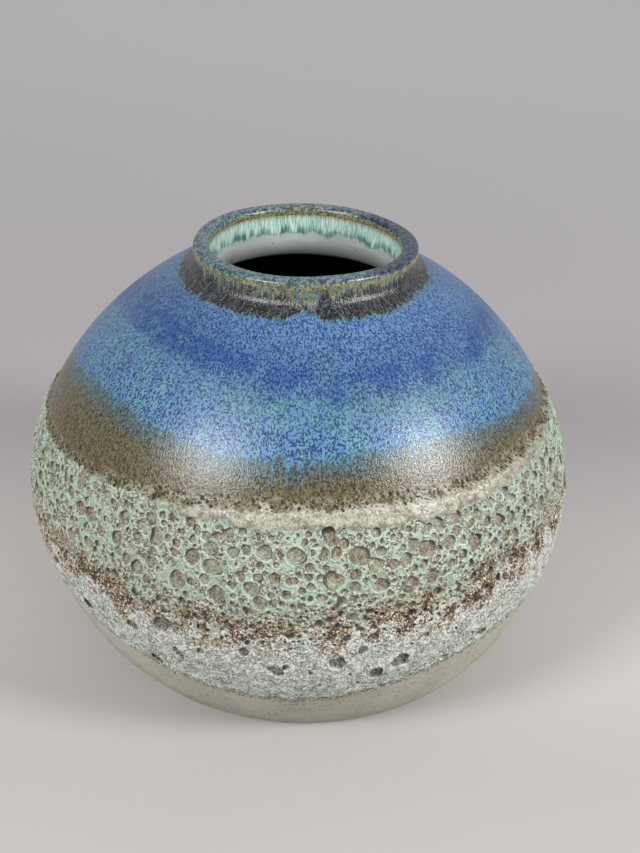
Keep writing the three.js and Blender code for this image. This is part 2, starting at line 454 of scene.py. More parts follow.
def place_craters():
    craters = Craters()
    for degrees, z, diameter in NAMED_CRATERS:
        craters.add(math.radians(degrees), z, diameter, NAMED_DEPTH * diameter)
    foam = between(rust_z, 9, cream_end_z, -1.5)
    rust = between(rust_z, -8, rust_z, 10)
    rust_foot = between(rust_z, -8, rust_z, 0)
    rust_top = between(rust_z, -1, rust_z, 13)
    frost = between(coat_end_z, 3, rust_z, -8)
    for group in (
        # number, smallest, largest, depth as a share of the diameter, band, spacing
        (190, 4.0, 7.4, 0.24, foam, 0.97),
        (14, 4.5, 7.5, 0.30, frost),
        (560, 2.2, 4.2, 0.30, foam, 0.96),
        (330, 1.8, 4.0, 0.42, rust_top, 0.97),
        (90, 1.8, 4.0, 0.42, rust_foot),
        (30, 2.0, 4.0, 0.38, frost),
        (900, 1.0, 2.0, 0.4, foam),
        (1500, 0.9, 2.0, 0.6, rust),
        (220, 1.0, 1.8, 0.5, frost),
        (400, 0.9, 1.5, 0.6, between(bronze_edge_z, -2.4, bronze_edge_z, 1.0)),
    ):
        craters.scatter(*group)
    craters.scatter(130, 1.4, 2.8, 0.3, between(coat_edge_z, 0.4, coat_edge_z, 2.4), stretch=0.4)
    return craters


CRATERS = place_craters()


# What the outside looks like at each point: how far the glaze stands out, and the shares of
# the different glazes that the materials mix.


def outside_fields(azimuth, along):
    """azimuth runs over the columns, along over rows and columns."""
    turn = azimuth + 0 * along
    radius, z = OUTSIDE.at(along)
    flow, space = around(turn, FLOW_RADIUS, along), around(turn, radius, z)
    drip = noise(flow, (1.8, 1.8, 11.0), 11, octaves=3)
    cloud = noise(space, 14.0, 12, octaves=3)
    mottle = noise(space, 4.5, 13, octaves=3)
    patches = noise(space, 9.0, 16, octaves=2)
    below_bronze = bronze_edge_z(azimuth) - z
    below_cream = cream_edge_z(azimuth) - z
    above_coat_end = z - coat_edge_z(azimuth)
    above_rust = z - rust_z(azimuth) + 2.5 * cloud
    above_cobalt = z - cobalt_z(azimuth) + 2.0 * cloud + 0.8 * drip
    above_feather = z - blue_end_z(azimuth) + 2.0 * drip + 0.8 * mottle
    rolled = swell(azimuth, (-45, -5), (25, 110)) + 0 * along
    rusty = 1 + 0.2 * swell(azimuth, (5, 30), (75, 120))

    unrolled = (1 - rolled) * smooth(1.7, 3.2, below_bronze + mottle)
    crust = smooth(-0.6, 4.0, below_bronze)
    fade = smooth(0.0, 17.0, above_coat_end)
    hole, beyond, over = CRATERS.press(azimuth, along)
    lumps = 0.45 * noise(space, 11.0, 14, octaves=2) + 0.26 * noise(space, 2.6, 15, octaves=3)
    roll = (0.35 + 1.1 * rolled) * smooth(-0.4, 3.0, below_bronze)
    roll = roll * (1 - smooth(-0.9, 0.9, below_cream))
    edge = smooth(-1.2, 2.4, above_coat_end)
    standing = CRUST * crust * (0.25 + 0.75 * fade) + roll * crust
    coat = standing + crust * (lumps * (0.5 + 0.5 * fade) + 0.22 * ridge(beyond, 0.28, 0.3))
    hole = np.minimum(hole, np.maximum(0.15, coat + SKIN - 0.45))
    relief = (coat - hole) - (SKIN - 0.15) * (1 - edge)

    front = 1 - np.cos(azimuth)
    opening = ridge(front, 0.0, 0.007)
    neck_foot = NECK_FOOT - 0.8 - 1.4 * front - 1.5 * cloud
    lip_foot = along + 2.6 * front - 3.5 * opening
    return {
        "relief": np.maximum(relief, -SKIN + 0.1),
        "flow": flow,
        "neck": smooth(2.6, -1.6, along - neck_foot + 1.5 * drip + 0.8 * mottle + 3.5 * opening),
        "rusty_lip": 1 - smooth(6.2, 10.0, lip_foot + 3.0 * drip + 1.5 * mottle),
        "crown": smooth(-1.0, 6.0, above_cobalt - 8),
        "cobalt": ridge(above_cobalt, 2.4, 4.2) * smooth(-0.55, 0.55, cloud + 0.9 * mottle),
        "network": 1 - smooth(-5.5, 0.0, above_cobalt),
        "teal": ridge(above_cobalt, -5.0, 4.5) * (0.25 + 0.75 * swell(azimuth, (-45, 0), (15, 60))),
        "bronze": 1 - smooth(-2.0, 5.5, above_feather),
        "bronze_warm": 1 - smooth(-6.0, 0.5, above_feather),
        "olive": smooth(-3.6, -0.2, below_bronze) * (1 - 0.75 * smooth(0.8, 3.2, below_bronze)),
        "cream": smooth(0.5, 2.5, below_bronze + 1.6 * mottle) * (0.5 + 0.5 * rolled),
        "foam": np.maximum(smooth(-0.3, 1.2, below_cream), unrolled),
        "mint": smooth(2.0, 12.0, above_rust + 3 * cloud) * smooth(-0.9, 0.5, mottle + 0.5 * cloud),
        "rust": rusty * ridge(above_rust, -2.0, 11.5) * smooth(-1.1, 0.7, patches + 0.8 * mottle),
        "frost": 1 - smooth(-6.0, 3.0, above_rust + 2.5 * mottle),
        "lip": beyond,
        # The side of each crater's wall that the materials paint in shade.
        "over": over,
        "thin": 1 - smooth(0.6, 2.2, above_coat_end + 0.8 * mottle),
    }


# Meshes


def ring_mesh(name, rings, strips, seen_rows, pole=None):
    """A closed solid from rings of points. The rings follow one another round the section.

    seen_rows of them, from the first, are the seen face and take most of the UV map, which
    is cut into strips that lie one above another. pole is a ring that ends on the axis; it
    and the next are capped instead of joined.
    """
    rows, columns = rings.shape[:2]
    grid = np.arange(rows * columns).reshape(rows, columns)
    joined = np.array([i for i in range(rows) if i != pole])
    top, below = grid[joined], grid[(joined + 1) % rows]
    quads = np.stack([top, below, np.roll(below, -1, 1), np.roll(top, -1, 1)], -1).reshape(-1, 4)
    radius, height = np.hypot(rings[:, 0, 0], rings[:, 0, 1]), rings[:, 0, 2]
    turned = np.sum(radius * np.roll(height, -1) - height * np.roll(radius, -1)) > 0

    margin = 0.01
    across = np.arange(columns) * strips
    sector = across // columns
    u = across / columns - sector
    u_next = u + strips / columns
    share = np.interp(np.arange(rows + 1), [0, seen_rows - 1, rows], [0.0, 0.9, 1.0])
    v = (sector + margin + share[:, None] * (1 - 2 * margin)) / strips
    v_top, v_below = v[joined], v[joined + 1]
    corner_u = margin + np.stack([u, u, u_next, u_next], -1) * (1 - 2 * margin)
    corner_v = np.stack([v_top, v_below, v_below, v_top], -1)
    uv = np.stack(np.broadcast_arrays(corner_u, corner_v), -1).reshape(-1, 4, 2)
    if turned:
        quads, uv = quads[:, ::-1], uv[:, ::-1]
    loops, starts = [quads.ravel()], np.arange(len(quads)) * 4
    layout = [uv.reshape(-1, 2)]
    if pole is not None:
        caps = [grid[pole][::-1], grid[(pole + 1) % rows]]
        if turned:
            caps = [cap[::-1] for cap in caps]
        starts = np.concatenate([starts, [len(quads) * 4, len(quads) * 4 + columns]])
        loops += caps
        layout += [np.full((columns, 2), 0.5 * margin)] * 2
    loops = np.concatenate(loops)

    mesh = bpy.data.meshes.new(name)
    mesh.vertices.add(rows * columns)
    mesh.vertices.foreach_set("co", (rings * MM).astype(np.float32).ravel())
    mesh.loops.add(len(loops))
    mesh.loops.foreach_set("vertex_index", loops.astype(np.int32))
    mesh.polygons.add(len(starts))
    mesh.polygons.foreach_set("loop_start", starts.astype(np.int32))
    mesh.polygons.foreach_set("use_smooth", np.ones(len(starts), bool))
    mesh.update(calc_edges=True)
    ends = np.zeros(len(mesh.edges) * 2, np.int32)
    mesh.edges.foreach_get("vertices", ends)
    edge_rows = (ends // columns).reshape(-1, 2)
    border = (edge_rows[:, 0] == edge_rows[:, 1]) & np.isin(edge_rows[:, 0], (0, seen_rows - 1))
    mesh.attributes.new("sharp_edge", "BOOLEAN", "EDGE").data.foreach_set("value", border)
    unwrapped = mesh.uv_layers.new(name="OFBake")
    unwrapped.data.foreach_set("uv", np.concatenate(layout).astype(np.float32).ravel())
    mesh.validate()
    return mesh


def add_fields(mesh, fields, hidden_rows):
    """Stores the fields on the seen rows' vertices, and zero on the hidden ones."""
    for name, values in fields.items():
        vector = values.ndim == 3
        values = np.pad(values, [(0, hidden_rows)] + [(0, 0)] * (values.ndim - 1))
        kind, key = ("FLOAT_VECTOR", "vector") if vector else ("FLOAT", "value")
        stored = mesh.attributes.new(name, kind, "POINT").data
        stored.foreach_set(key, values.astype(np.float32).ravel())


def add_object(name, data):
    made = bpy.data.objects.new(name, data)
    bpy.context.scene.collection.objects.link(made)
    return made


def add_piece(name, mesh, material, node):
    piece = add_object(name, mesh)
    mesh.materials.append(material)
    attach(piece, "root")
    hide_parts(node)


def spread(start, end, rows):
    """Distances from one line to another, one row after another."""
    share = np.linspace(0, 1, rows)[:, None]
    return start * (1 - share) + end * share


def shell(name, profile, lines, columns, spacing, strips, fields_of, hide=CLEARANCE - SKIN):
    """A coat between two lines round the pot: its seen face and, rolled back, its hidden one."""
    azimuth = turns(columns)
    first, last = (line(azimuth) for line in lines)
    rows = int(math.ceil(np.mean(last - first) / spacing)) + 1
    seen = spread(first, last, rows)
    fields = fields_of(azimuth, seen)
    face = settled(azimuth, *profile.at(seen, fields.pop("relief")))
    back = settled(azimuth, *profile.at(spread(last, first, HIDDEN_ROWS), hide))
    mesh = ring_mesh(name, np.concatenate([face, back]), strips, rows)
    add_fields(mesh, fields, HIDDEN_ROWS)
    return mesh


# Materials


def tint(code):
    """A colour such as "#8fb3a0" as linear red, green, blue and alpha."""
    parts = [int(code[i:i + 2], 16) / 255 for i in (1, 3, 5)]
    return [p / 12.92 if p <= 0.04045 else ((p + 0.055) / 1.055) ** 2.4 for p in parts] + [1.0]


class Paint:
    """The node tree of one material. Its methods add nodes and return their output sockets."""

    def __init__(self, name):
        self.material = bpy.data.materials.new(name)
        self.material.use_nodes = True
        self.tree = self.material.node_tree
        self.tree.nodes.clear()
        self.shader = self.node("ShaderNodeBsdfPrincipled")
        self.node("ShaderNodeOutputMaterial", {"Surface": self.shader.outputs["BSDF"]})
        self.flow = self.field("flow", "Vector")
        self.space = self.node("ShaderNodeTexCoord").outputs["Object"]

    def node(self, kind, inputs=None, **settings):
        made = self.tree.nodes.new(kind)
        for key, value in settings.items():
            setattr(made, key, value)
        for key, value in (inputs or {}).items():
            self.feed(made.inputs[key], value)
        return made

    def feed(self, target, value):
        """A socket is linked; a number or a colour is set on the target itself."""
        if isinstance(value, bpy.types.NodeSocket):
            self.tree.links.new(value, target)
        else:
            target.default_value = tint(value) if isinstance(value, str) else value

    def field(self, name, output="Fac"):
        """One of the fields stored on the mesh's vertices."""
        return self.node("ShaderNodeAttribute", attribute_name=name).outputs[output]

    def scaled(self, size, along_flow=False):
        """Coordinates in which a feature of `size` millimetres is one unit."""
        sizes = size if isinstance(size, tuple) else (size,) * 3
        source, unit = (self.flow, 1.0) if along_flow else (self.space, MM)
        inputs = {0: source, 1: [1 / (s * unit) for s in sizes]}
        return self.node("ShaderNodeVectorMath", inputs, operation="MULTIPLY").outputs["Vector"]

    def noise(self, size, detail, roughness, distortion=0.0, along_flow=False):
        return self.node("ShaderNodeTexNoise", {
            "Vector": self.scaled(size, along_flow), "Scale": 1.0, "Detail": detail,
            "Roughness": roughness, "Distortion": distortion,
        }).outputs["Fac"]

    def runs(self, width, length, *settings):
        """Noise drawn out in the direction in which the glaze ran."""
        return self.noise((width, width, length), *settings, along_flow=True)

    def cells(self, size, feature="F1"):
        inputs = {"Vector": self.scaled(size), "Scale": 1.0}
        return self.node("ShaderNodeTexVoronoi", inputs, feature=feature).outputs["Distance"]

    def ramp(self, value, low, high, to_low=0.0, to_high=1.0):
        """A soft step from to_low, where the value is low, to to_high, where it is high."""
        if low > high:
            low, high, to_low, to_high = high, low, to_high, to_low
        return self.node("ShaderNodeMapRange", {
            "Value": value, "From Min": low, "From Max": high, "To Min": to_low, "To Max": to_high,
        }, interpolation_type="SMOOTHSTEP").outputs["Result"]

    def dots(self, distance, size):
        """Hard-edged dots round the middles of cells."""
        return self.ramp(self.math("SUBTRACT", distance, size), 0.06, -0.06)

    def math(self, operation, *values):
        """The values, sockets or numbers, combined one after another."""
        result = values[0]
        for value in values[1:]:
            made = self.node("ShaderNodeMath", {0: result, 1: value}, operation=operation)
            result = made.outputs["Value"]
        return result

    def times(self, *values):
        return self.math("MULTIPLY", *values)

    def plus(self, *values):
        return self.math("ADD", *values)

    def highest(self, *values):
        return self.math("MAXIMUM", *values)

    def total(self, *pairs):
        """A sum of sockets, each followed by its weight."""
        return self.plus(*(self.times(*pair) for pair in zip(pairs[::2], pairs[1::2])))

    def mix(self, first, second, share, *limits):
        """Colours, or numbers, mixed by a share, which is a ramp where limits are given."""
        if limits:
            share = self.ramp(share, *limits)
        colours = isinstance(first, str) or getattr(first, "type", "") == "RGBA"
        kind, start, output = ("RGBA", 6, 2) if colours else ("FLOAT", 2, 0)
        inputs = {0: share, start: first, start + 1: second}
        return self.node("ShaderNodeMix", inputs, data_type=kind).outputs[output]

    def finish(self, colour, roughness, bump):
        """bump is a height in millimetres."""
        relief = self.node("ShaderNodeBump", {"Strength": 1.0, "Distance": MM, "Height": bump})
        self.feed(self.shader.inputs["Base Color"], colour)
        self.feed(self.shader.inputs["Roughness"], roughness)
        self.feed(self.shader.inputs["Normal"], relief.outputs["Normal"])
        return self.material


def blue_layer(p):
    """Blue shoulder: fine crystals, a broken cobalt arc, then pale crystals on dark blue."""
    strokes = p.runs(0.95, 1.5, 2.5, 0.65)
    grain = p.noise(0.8, 2.0, 0.65)
    worms = p.runs(0.85, 1.0, 1.5, 0.5, 0.5)
    veil = p.runs(5.0, 14.0, 3.0, 0.55)
    tide = p.runs(40.0, 24.0, 2.0, 0.5)
    cobalt, network = p.field("cobalt"), p.field("network")
    texture = p.ramp(p.total(strokes, 0.5, grain, 0.5), 0.445, 0.555)
    mossy = p.ramp(p.total(veil, 0.5, tide, 0.5), 0.48, 0.66, 0.0, 0.6)
    fine = p.mix(p.mix("#15345f", "#1e3a50", mossy), p.mix("#4c6f98", "#557586", mossy), texture)
    fine = p.mix(fine, p.mix("#1f416b", "#5f80a5", texture), p.times(p.field("crown"), 0.75))
    pools = p.runs(2.2, 5.0, 2.5, 0.6)
    fine = p.mix(fine, p.mix("#133676", "#4676b0", texture), pools, 0.50, 0.66, 0.0, 0.55)
    pooled = p.total(cobalt, 1.2, pools, 0.8, strokes, 0.6)
    fine = p.mix(fine, p.mix("#0e2a66", "#2e5a88", texture), pooled, 0.85, 1.55, 0.0, 0.95)
    ground = p.mix("#1e3162", "#203c60", veil, 0.4, 0.6)
    crystal = p.mix("#4f7aa1", "#5a889c", veil, 0.42, 0.62)
    web = p.mix(ground, crystal, p.plus(worms, p.times(grain, 0.3)), 0.59, 0.67)
    web = p.mix(web, p.mix("#22404a", "#557a86", texture), p.field("bronze"), 0.0, 0.5, 0.0, 0.7)
    colour = p.mix(fine, web, p.plus(network, p.times(grain, 0.4)), 0.45, 0.95)
    teal = p.times(p.field("teal"), p.ramp(pools, 0.40, 0.56, 0.2, 0.75))
    colour = p.mix(colour, p.mix("#274a58", "#5b868c", texture), teal)
    bump = p.total(strokes, 0.10, grain, 0.10, worms, 0.06)
    return colour, p.ramp(grain, 0.3, 0.7, 0.22, 0.42), bump


def bronze_layer(p):
    """Satin bronze with short streaks: bluish at its top, darkest and olive at its foot."""
    streaks = p.runs(0.85, 1.7, 3.0, 0.7)
    sparkle = p.noise(0.8, 2.0, 0.7)
    texture = p.ramp(p.total(streaks, 0.6, sparkle, 0.4), 0.42, 0.58)
    cool = p.mix("#243336", "#56686a", texture)
    warm = p.mix("#2e2916", "#676047", texture)
    colour = p.mix(cool, warm, p.field("bronze_warm"))
    bump = p.total(streaks, 0.11, sparkle, 0.13)
    return colour, p.ramp(sparkle, 0.35, 0.65, 0.15, 0.34), bump


def neck_layer(p):
    """Dark speckled glaze on the neck, breaking to olive and ochre under the lip."""
    streaks = p.runs(1.1, 4.0, 3.0, 0.6)
    grain = p.noise(0.85, 2.5, 0.7)
    spots = p.noise(2.2, 2.0, 0.5)
    runs = p.runs(5.0, 12.0, 2.0, 0.5)
    texture = p.total(streaks, 0.4, grain, 0.6)
    dark = p.mix("#0b0c0e", "#55585a", texture, 0.46, 0.62)
    olive = p.mix("#373f2d", "#707664", texture, 0.42, 0.60)
    dark = p.mix(dark, olive, p.plus(runs, p.times(streaks, 0.3)), 0.70, 0.88, 0.0, 0.3)
    tears = p.runs(1.6, 7.0, 2.0, 0.5)
    under_lip = p.mix("#38402c", "#86876a", texture, 0.40, 0.58)
    under_lip = p.mix(under_lip, "#50361a", spots, 0.56, 0.66)
    under_lip = p.mix(under_lip, "#44667a", tears, 0.50, 0.60, 0.0, 0.75)
    colour = p.mix(dark, under_lip, p.field("rusty_lip"))
    bump = p.total(streaks, 0.15, grain, 0.14)
    return colour, p.ramp(grain, 0.3, 0.7, 0.14, 0.34), bump


def crust_layer(p):
    """Foamed glaze: mint above, rust in the middle, frosty white below, with burst bubbles."""
    froth, fine = p.cells(1.3), p.cells(0.75)
    flakes, salt = p.cells(0.9), p.cells(0.95)
    membranes = p.cells(2.0, feature="DISTANCE_TO_EDGE")
    grain = p.noise(0.82, 2.0, 0.75)
    grit = p.noise(1.15, 2.5, 0.75)
    patch = p.noise(2.4, 3.0, 0.6)
    vein = p.noise(4.6, 2.0, 0.5)
    mint, rust, frost = p.field("mint"), p.field("rust"), p.field("frost")
    lip = p.plus(p.field("lip"), p.times(grain, 0.4), -0.2)
    floor = p.ramp(lip, -0.28, -0.48)
    over = p.field("over")
    # Painted shade: one side of each crater's inner wall is painted dark.
    side = p.times(p.ramp(lip, -0.75, -0.40), p.ramp(lip, 0.0, -0.12))
    side = p.times(side, p.ramp(over, -0.6, 0.7, 0.12))
    # The side of each crater's lip away from its painted shade, broken up by noise.
    lit_edge = p.times(p.ramp(over, 0.8, -0.4, 0.2), p.ramp(grit, 0.40, 0.56, 0.35))
    rim_and_highlight = p.times(p.ramp(lip, -0.06, 0.06), p.ramp(lip, 0.52, 0.30), lit_edge)
    outside = p.ramp(lip, -0.05, 0.05)
    grains = p.dots(flakes, p.ramp(patch, 0.35, 0.65, 0.42, 0.62))
    crowd = p.ramp(p.plus(vein, p.times(patch, 0.5)), 0.82, 0.60, 0.10, 0.9)
    shown = p.times(p.highest(crowd, p.ramp(rust, 0.2, 0.6)), outside)
    gap = p.math("SUBTRACT", froth, p.ramp(patch, 0.38, 0.62, 0.20, 0.46))
    small = p.dots(fine, p.ramp(grit, 0.40, 0.60, 0.18, 0.46))
    pits = p.times(p.highest(p.ramp(gap, 0.05, -0.05), small), shown)
    ring = p.times(p.ramp(gap, 0.02, 0.08), p.ramp(gap, 0.24, 0.10), shown)
    smooth_share = p.ramp(p.plus(vein, p.times(mint, 0.12)), 0.48, 0.66)
    pitted = p.mix("#64685a", "#aeb3a1", grains)
    glassy = p.mix("#72877a", "#a8baab", p.total(grit, 0.5, grain, 0.5), 0.43, 0.57)
    glazed = p.mix(p.mix("#838a72", "#acb299", grains), glassy, mint)
    base = p.mix(pitted, glazed, smooth_share)
    accent = p.times(p.ramp(vein, 0.56, 0.66), mint, p.ramp(grain, 0.40, 0.55), 0.5)
    base = p.mix(base, "#83b3a4", accent)
    frosty = p.mix(p.mix("#899189", "#aab3aa", patch, 0.4, 0.6), "#857f74", rust)
    flake = p.plus(p.ramp(patch, 0.35, 0.65, 0.32, 0.54), p.times(p.ramp(rust, 0.0, 0.6), 0.12))
    white = p.mix(frosty, p.mix("#d3d6ce", "#ded8d0", rust), p.dots(flakes, flake))
    base = p.mix(base, white, p.plus(frost, p.times(patch, 0.7)), 0.75, 1.1)
    base = p.mix(base, "#b3baac", p.times(ring, 0.5))
    # Pale crater rims: partly the glaze's own paler edge, partly a painted highlight.
    rim_and_highlight = p.times(rim_and_highlight, p.ramp(rust, 0.0, 1.0, 0.95, 0.5))
    base = p.mix(base, p.mix("#b9c3b1", "#c3c5bb", frost), rim_and_highlight)
    blotch = p.total(rust, 0.4, vein, 0.5, grit, 0.5, grain, 0.5)
    base = p.mix(base, p.mix("#765c3c", "#a48c66", grain), blotch, 0.92, 1.04, 0.0, 0.8)
    base = p.mix(base, p.mix("#2a1c10", "#6b5135", grain, 0.42, 0.62), blotch, 1.09, 1.16)
    grit_salt = p.times(p.dots(salt, p.ramp(patch, 0.38, 0.62, 0.45, 0.15)), rust)
    base = p.mix(base, "#d3cdc4", grit_salt)
    # Painted shade: the small pits are painted dark.
    base = p.mix(base, p.mix("#30332a", "#26221c", rust), p.times(pits, 0.85))
    pale = p.ramp(p.noise(9.0, 2.0, 0.5), 0.42, 0.60)
    texture = p.ramp(p.total(grain, 0.4, grit, 0.6), 0.43, 0.57)
    warm, cool = p.mix("#5f5645", "#9a8d78", texture), p.mix("#727766", "#a3a893", texture)
    stone = p.mix(warm, cool, pale)
    strands = p.times(p.ramp(membranes, 0.07, 0.03), p.ramp(patch, 0.45, 0.55))
    stone = p.mix(stone, "#b0aa9a", strands)
    ash = p.mix("#5d5e55", "#92948a", grains)
    ash = p.mix(ash, p.mix("#2b2a29", "#5c5e63", texture), p.times(rust, 0.85))
    inside = p.mix(stone, ash, p.highest(frost, p.ramp(rust, 0.05, 0.6)))
    colour = p.mix(base, inside, floor)
    side = p.times(side, p.highest(p.ramp(frost, 0.0, 1.0, 0.85, 0.95), rust))
    # The painted shade on the crater walls.
    colour = p.mix(colour, "#26231a", side)
    colour = p.mix(colour, p.mix("#4a4630", "#a29d7a", grains), p.times(p.field("thin"), 0.6))
    films = p.times(p.ramp(membranes, 0.12, 0.03), floor)
    bump = p.total(grain, 0.22, grit, 0.2, pits, -0.4, patch, 0.3, films, 0.25)
    dull, glossy = p.ramp(grain, 0.35, 0.65, 0.45, 0.75), p.ramp(grain, 0.4, 0.6, 0.2, 0.5)
    return colour, p.mix(dull, glossy, p.times(smooth_share, mint)), bump


def cream_layer(p):
    """Thick cream edge, with an olive margin full of pinholes above it."""
    grain = p.noise(0.85, 2.0, 0.7)
    patch = p.noise(2.8, 2.5, 0.6)
    dots = p.cells(1.25)
    texture = p.total(patch, 0.5, grain, 0.5)
    cream = p.mix("#7b7764", "#a3a294", texture, 0.42, 0.53)
    cream = p.mix(cream, "#c4c4b9", p.times(p.dots(p.cells(0.9), 0.30), p.ramp(patch, 0.40, 0.60)))
    margin = p.mix("#463e24", "#7f7962", texture, 0.42, 0.60)
    olive = p.field("olive")
    colour = p.mix(margin, cream, p.field("cream"))
    pinholes = p.times(p.ramp(dots, 0.36, 0.24), p.ramp(patch, 0.42, 0.52))
    pinholes = p.times(pinholes, p.ramp(olive, 0.0, 0.7, 0.03))
    holes = p.highest(pinholes, p.ramp(p.field("lip"), 0.05, -0.15))
    # Painted shade: the pinholes and the holes of craters are painted nearly black.
    colour = p.mix(colour, "#1f1a10", p.times(holes, 0.9))
    bump = p.total(grain, 0.10, patch, 0.2, holes, -0.3)
    return colour, p.ramp(patch, 0.3, 0.7, 0.26, 0.46), bump


def blend_layers(p, lower, upper, share):
    """One layer over another: colour, roughness and bump mixed by the same share."""
    return [p.mix(a, b, share) for a, b in zip(lower, upper)]


def frayed_share(p, name, low=0.85, high=1.15):
    """A field as a share, broken at its edge into short runs."""
    return p.ramp(p.plus(p.field(name), p.runs(1.0, 3.4, 2.0, 0.6)), low, high)


def shoulder_layers(p, fields):
    """The blue glaze with those of its neighbours that reach into the same piece."""
    layers = list(blue_layer(p))
    if "bronze" in fields:
        layers = blend_layers(p, layers, bronze_layer(p), frayed_share(p, "bronze"))
    if "olive" in fields:
        layers = blend_layers(p, layers, cream_layer(p), p.ramp(p.field("olive"), 0.1, 0.9))
    if "neck" in fields:
        share = p.times(frayed_share(p, "neck", 0.54, 0.80), p.ramp(p.field("neck"), 0.0, 0.12))
        fringe = p.mix("#223f46", "#64867f", p.noise(0.85, 2.0, 0.7), 0.42, 0.58)
        layers[0] = p.mix(layers[0], fringe, p.times(share, 0.75))
        layers = blend_layers(p, layers, neck_layer(p), frayed_share(p, "neck", 0.84, 1.2))
    return layers


def edge_layers(p):
    """The olive margin, the cream roll and the torn start of the foamed glaze."""
    upper = blend_layers(p, bronze_layer(p), cream_layer(p), p.ramp(p.field("olive"), 0.05, 0.7))
    upper = blend_layers(p, upper, cream_layer(p), p.field("cream"))
    torn = p.ramp(p.plus(p.field("foam"), p.times(p.noise(1.4, 2.0, 0.6), 0.8)), 0.80, 0.98)
    return blend_layers(p, upper, crust_layer(p), torn)


def band_material(name, fields):
    """The glazes of one band round the outside. The fields that it stores tell which."""
    p = Paint(name)
    if "foam" in fields:
        return p.finish(*edge_layers(p))
    if "mint" in fields:
        return p.finish(*crust_layer(p))
    return p.finish(*shoulder_layers(p, fields))


def rim_material():
    """Steel blue on the lip, worn to ochre and rust along both edges."""
    p = Paint("rim_glaze")
    grain = p.noise(0.85, 2.5, 0.65)
    veil = p.noise(32.0, 3.0, 0.5)
    spots = p.noise(2.0, 2.5, 0.6)
    texture = p.ramp(p.total(grain, 0.55, spots, 0.45), 0.445, 0.565)
    # Painted shade: the lip's right side is painted darker, and bluer.
    shaded_right = p.ramp(p.plus(p.field("shaded_right"), veil), 0.85, 1.2)
    blue = p.mix(p.mix("#233e48", "#0b1631", shaded_right), p.mix("#64797d", "#40505f", shaded_right), texture)
    ochre = p.mix("#4e5540", "#86876b", texture)
    ochre = p.mix(ochre, "#5b3417", spots, 0.60, 0.68)
    share = p.ramp(p.plus(p.field("edge"), p.times(spots, 1.3), p.times(grain, 0.5)), 1.1, 1.75)
    colour = p.mix(blue, ochre, share)
    bump = p.total(grain, 0.12, spots, 0.12)
    return p.finish(colour, p.ramp(grain, 0.3, 0.7, 0.16, 0.32), bump)


def mouth_material():
    """Pale turquoise drips with dark green ends, rusty where they leave the lip."""
    p = Paint("mouth_drip_glaze")
    streaks = p.runs(1.0, 5.0, 3.0, 0.55)
    grain = p.noise(0.8, 2.0, 0.6)
    pale = p.mix("#83a79b", "#c6dcd5", streaks, 0.38, 0.60)
    green = p.mix("#386658", "#6c9082", streaks, 0.4, 0.65)
    colour = p.mix("#a7aca8", pale, p.field("drip"))
    colour = p.mix(colour, green, p.field("green"))
    rusty = p.mix("#6e5533", "#a29470", grain, 0.4, 0.6)
    colour = p.mix(colour, rusty, p.field("rusty"))
    bump = p.total(streaks, 0.15, grain, 0.03)
    return p.finish(colour, p.ramp(grain, 0.3, 0.7, 0.12, 0.24), bump)


def liner_material():
    """Glossy white glaze inside, painted grey for the shade within the vase and darker still down
    the throat, faintly uneven, with a few pin specks.
    """
    p = Paint("liner_glaze")
    veil = p.noise(18.0, 3.0, 0.5)
    ripple = p.noise(6.0, 1.5, 0.4)
    specks = p.cells(5.0)
    # The white glaze is painted grey: painted shade.
    colour = p.mix("#9fa39f", "#afb3af", veil, 0.35, 0.65)
    colour = p.mix(colour, "#504a3e", specks, 0.075, 0.05)
    # Painted shade, darkening down the throat and nearly black below it.
    colour = p.mix(colour, "#15120f", p.field("unlit"))
    bump = p.times(ripple, 0.2)
    return p.finish(colour, p.ramp(veil, 0.3, 0.7, 0.14, 0.24), bump)


def clay_material():
    """Bare grey stoneware with iron specks, turning lines and a painted highlight on the foot's
    bevel.
    """
    p = Paint("bare_clay")
    grain = p.noise(0.9, 3.0, 0.7)
    veil = p.noise(22.0, 3.0, 0.5)
    specks = p.noise((1.9, 1.9, 0.9), 1.0, 0.5)
    sparse = p.noise(5.0, 2.0, 0.6)
    lines = p.noise((60.0, 60.0, 0.9), 2.0, 0.5)
    colour = p.mix("#9b9a8c", "#a8a79a", veil, 0.35, 0.65)
    colour = p.mix(colour, "#908e80", grain, 0.48, 0.38, 0.0, 0.6)
    colour = p.mix(colour, "#b7b6aa", grain, 0.52, 0.62, 0.0, 0.6)
    iron = p.times(p.ramp(specks, 0.64, 0.68), p.ramp(sparse, 0.46, 0.56))
    colour = p.mix(colour, p.mix("#473b26", "#786949", veil, 0.4, 0.6), p.times(iron, 0.9))
    # Painted highlight: the foot's bevel and contact ring are painted paler.
    colour = p.mix(colour, "#b8b6ab", p.times(p.field("lit_edge"), 0.6))
    bump = p.total(grain, 0.10, lines, 0.10, iron, -0.08)
    return p.finish(colour, p.ramp(grain, 0.3, 0.7, 0.68, 0.88), bump)


def floor_material():
    """Pale paper with painted light and shade from front to back: lighter by the vase, darker just
    behind it, lightest far back.
    """
    p = Paint("pale_paper")
    veil = p.noise(300.0, 2.0, 0.5)
    far = p.node("ShaderNodeSeparateXYZ", {"Vector": p.space}).outputs["Y"]
    colour = p.mix("#a9a5a2", "#aeaaa7", veil, 0.3, 0.7)
    # Painted light and shade along the floor, by distance from front to back.
    colour = p.mix(colour, "#bcb8b5", far, -0.12, 0.0)
    colour = p.mix(colour, "#a4a0a1", far, 0.02, 0.22)
    colour = p.mix(colour, "#d2d1d4", far, 0.1, 1.4)
    bump = p.times(p.noise(1.6, 2.0, 0.6), 0.02)
    return p.finish(colour, p.ramp(veil, 0.3, 0.7, 0.75, 0.8), bump)


# Pieces


